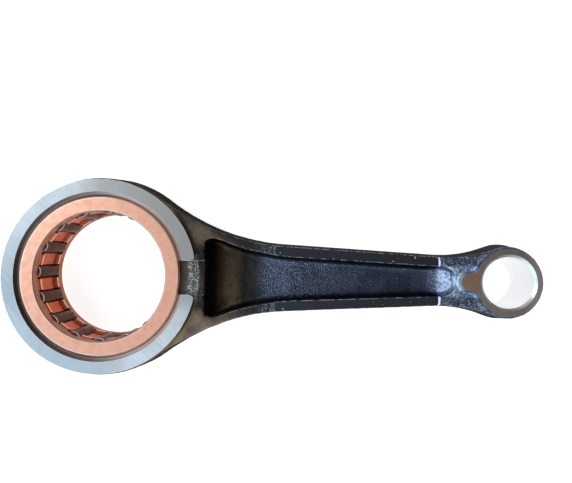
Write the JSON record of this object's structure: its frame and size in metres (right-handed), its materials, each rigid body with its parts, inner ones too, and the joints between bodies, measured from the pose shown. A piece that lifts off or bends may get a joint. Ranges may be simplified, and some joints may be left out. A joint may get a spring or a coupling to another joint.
{
  "type": "connecting rod",
  "caption": "Forged one-piece connecting rod with an I-section shank, a caged roller bearing in its big-end eye and a plain small-end bore.",
  "frame": {"origin": "centre of the big-end bore at mid-thickness", "axes": "+X towards the small end, +Z along both bores and up when the rod lies flat"},
  "size_m": [0.1479, 0.0546, 0.018],
  "materials": {
    "forged_steel": "dark blue-black drop forging, with ground thrust faces, milled lands and honed bores",
    "copper_plate": "steel with a satin copper flash",
    "roller_steel": "hardened, ground and lapped"
  },
  "bodies": {
    "rod": {"connecting_rod": "forged_steel"},
    "cage": {"roller_cage": "copper_plate"},
    "roller_01": {"roller_01": "roller_steel"},
    "roller_02": {"roller_02": "roller_steel"},
    "roller_03": {"roller_03": "roller_steel"},
    "roller_04": {"roller_04": "roller_steel"},
    "roller_05": {"roller_05": "roller_steel"},
    "roller_06": {"roller_06": "roller_steel"},
    "roller_07": {"roller_07": "roller_steel"},
    "roller_08": {"roller_08": "roller_steel"},
    "roller_09": {"roller_09": "roller_steel"},
    "roller_10": {"roller_10": "roller_steel"},
    "roller_11": {"roller_11": "roller_steel"},
    "roller_12": {"roller_12": "roller_steel"},
    "roller_13": {"roller_13": "roller_steel"},
    "roller_14": {"roller_14": "roller_steel"},
    "roller_15": {"roller_15": "roller_steel"},
    "roller_16": {"roller_16": "roller_steel"}
  },
  "joints": [
    {"name": "cage_spin", "type": "hinge", "parent": "rod", "child": "cage", "pos_m": [0, 0, 0], "axis": [0, 0, 1], "continuous": true},
    {"name": "roller_01_spin", "type": "hinge", "parent": "cage", "child": "roller_01", "pos_m": [0.01804, 0.00667, 0], "axis": [0, 0, 1], "continuous": true},
    {"name": "roller_02_spin", "type": "hinge", "parent": "cage", "child": "roller_02", "pos_m": [0.01411, 0.01307, 0], "axis": [0, 0, 1], "continuous": true},
    {"name": "roller_03_spin", "type": "hinge", "parent": "cage", "child": "roller_03", "pos_m": [0.00804, 0.01747, 0], "axis": [0, 0, 1], "continuous": true},
    {"name": "roller_04_spin", "type": "hinge", "parent": "cage", "child": "roller_04", "pos_m": [0.00074, 0.01922, 0], "axis": [0, 0, 1], "continuous": true},
    {"name": "roller_05_spin", "type": "hinge", "parent": "cage", "child": "roller_05", "pos_m": [-0.00667, 0.01804, 0], "axis": [0, 0, 1], "continuous": true},
    {"name": "roller_06_spin", "type": "hinge", "parent": "cage", "child": "roller_06", "pos_m": [-0.01307, 0.01411, 0], "axis": [0, 0, 1], "continuous": true},
    {"name": "roller_07_spin", "type": "hinge", "parent": "cage", "child": "roller_07", "pos_m": [-0.01747, 0.00804, 0], "axis": [0, 0, 1], "continuous": true},
    {"name": "roller_08_spin", "type": "hinge", "parent": "cage", "child": "roller_08", "pos_m": [-0.01922, 0.00074, 0], "axis": [0, 0, 1], "continuous": true},
    {"name": "roller_09_spin", "type": "hinge", "parent": "cage", "child": "roller_09", "pos_m": [-0.01804, -0.00667, 0], "axis": [0, 0, 1], "continuous": true},
    {"name": "roller_10_spin", "type": "hinge", "parent": "cage", "child": "roller_10", "pos_m": [-0.01411, -0.01307, 0], "axis": [0, 0, 1], "continuous": true},
    {"name": "roller_11_spin", "type": "hinge", "parent": "cage", "child": "roller_11", "pos_m": [-0.00804, -0.01747, 0], "axis": [0, 0, 1], "continuous": true},
    {"name": "roller_12_spin", "type": "hinge", "parent": "cage", "child": "roller_12", "pos_m": [-0.00074, -0.01922, 0], "axis": [0, 0, 1], "continuous": true},
    {"name": "roller_13_spin", "type": "hinge", "parent": "cage", "child": "roller_13", "pos_m": [0.00667, -0.01804, 0], "axis": [0, 0, 1], "continuous": true},
    {"name": "roller_14_spin", "type": "hinge", "parent": "cage", "child": "roller_14", "pos_m": [0.01307, -0.01411, 0], "axis": [0, 0, 1], "continuous": true},
    {"name": "roller_15_spin", "type": "hinge", "parent": "cage", "child": "roller_15", "pos_m": [0.01747, -0.00804, 0], "axis": [0, 0, 1], "continuous": true},
    {"name": "roller_16_spin", "type": "hinge", "parent": "cage", "child": "roller_16", "pos_m": [0.01922, -0.00074, 0], "axis": [0, 0, 1], "continuous": true}
  ],
  "couplings": [
    {"joint": "roller_01_spin", "follows": "cage_spin", "ratio": -9.5467},
    {"joint": "roller_02_spin", "follows": "cage_spin", "ratio": -9.5467},
    {"joint": "roller_03_spin", "follows": "cage_spin", "ratio": -9.5467},
    {"joint": "roller_04_spin", "follows": "cage_spin", "ratio": -9.5467},
    {"joint": "roller_05_spin", "follows": "cage_spin", "ratio": -9.5467},
    {"joint": "roller_06_spin", "follows": "cage_spin", "ratio": -9.5467},
    {"joint": "roller_07_spin", "follows": "cage_spin", "ratio": -9.5467},
    {"joint": "roller_08_spin", "follows": "cage_spin", "ratio": -9.5467},
    {"joint": "roller_09_spin", "follows": "cage_spin", "ratio": -9.5467},
    {"joint": "roller_10_spin", "follows": "cage_spin", "ratio": -9.5467},
    {"joint": "roller_11_spin", "follows": "cage_spin", "ratio": -9.5467},
    {"joint": "roller_12_spin", "follows": "cage_spin", "ratio": -9.5467},
    {"joint": "roller_13_spin", "follows": "cage_spin", "ratio": -9.5467},
    {"joint": "roller_14_spin", "follows": "cage_spin", "ratio": -9.5467},
    {"joint": "roller_15_spin", "follows": "cage_spin", "ratio": -9.5467},
    {"joint": "roller_16_spin", "follows": "cage_spin", "ratio": -9.5467}
  ]
}
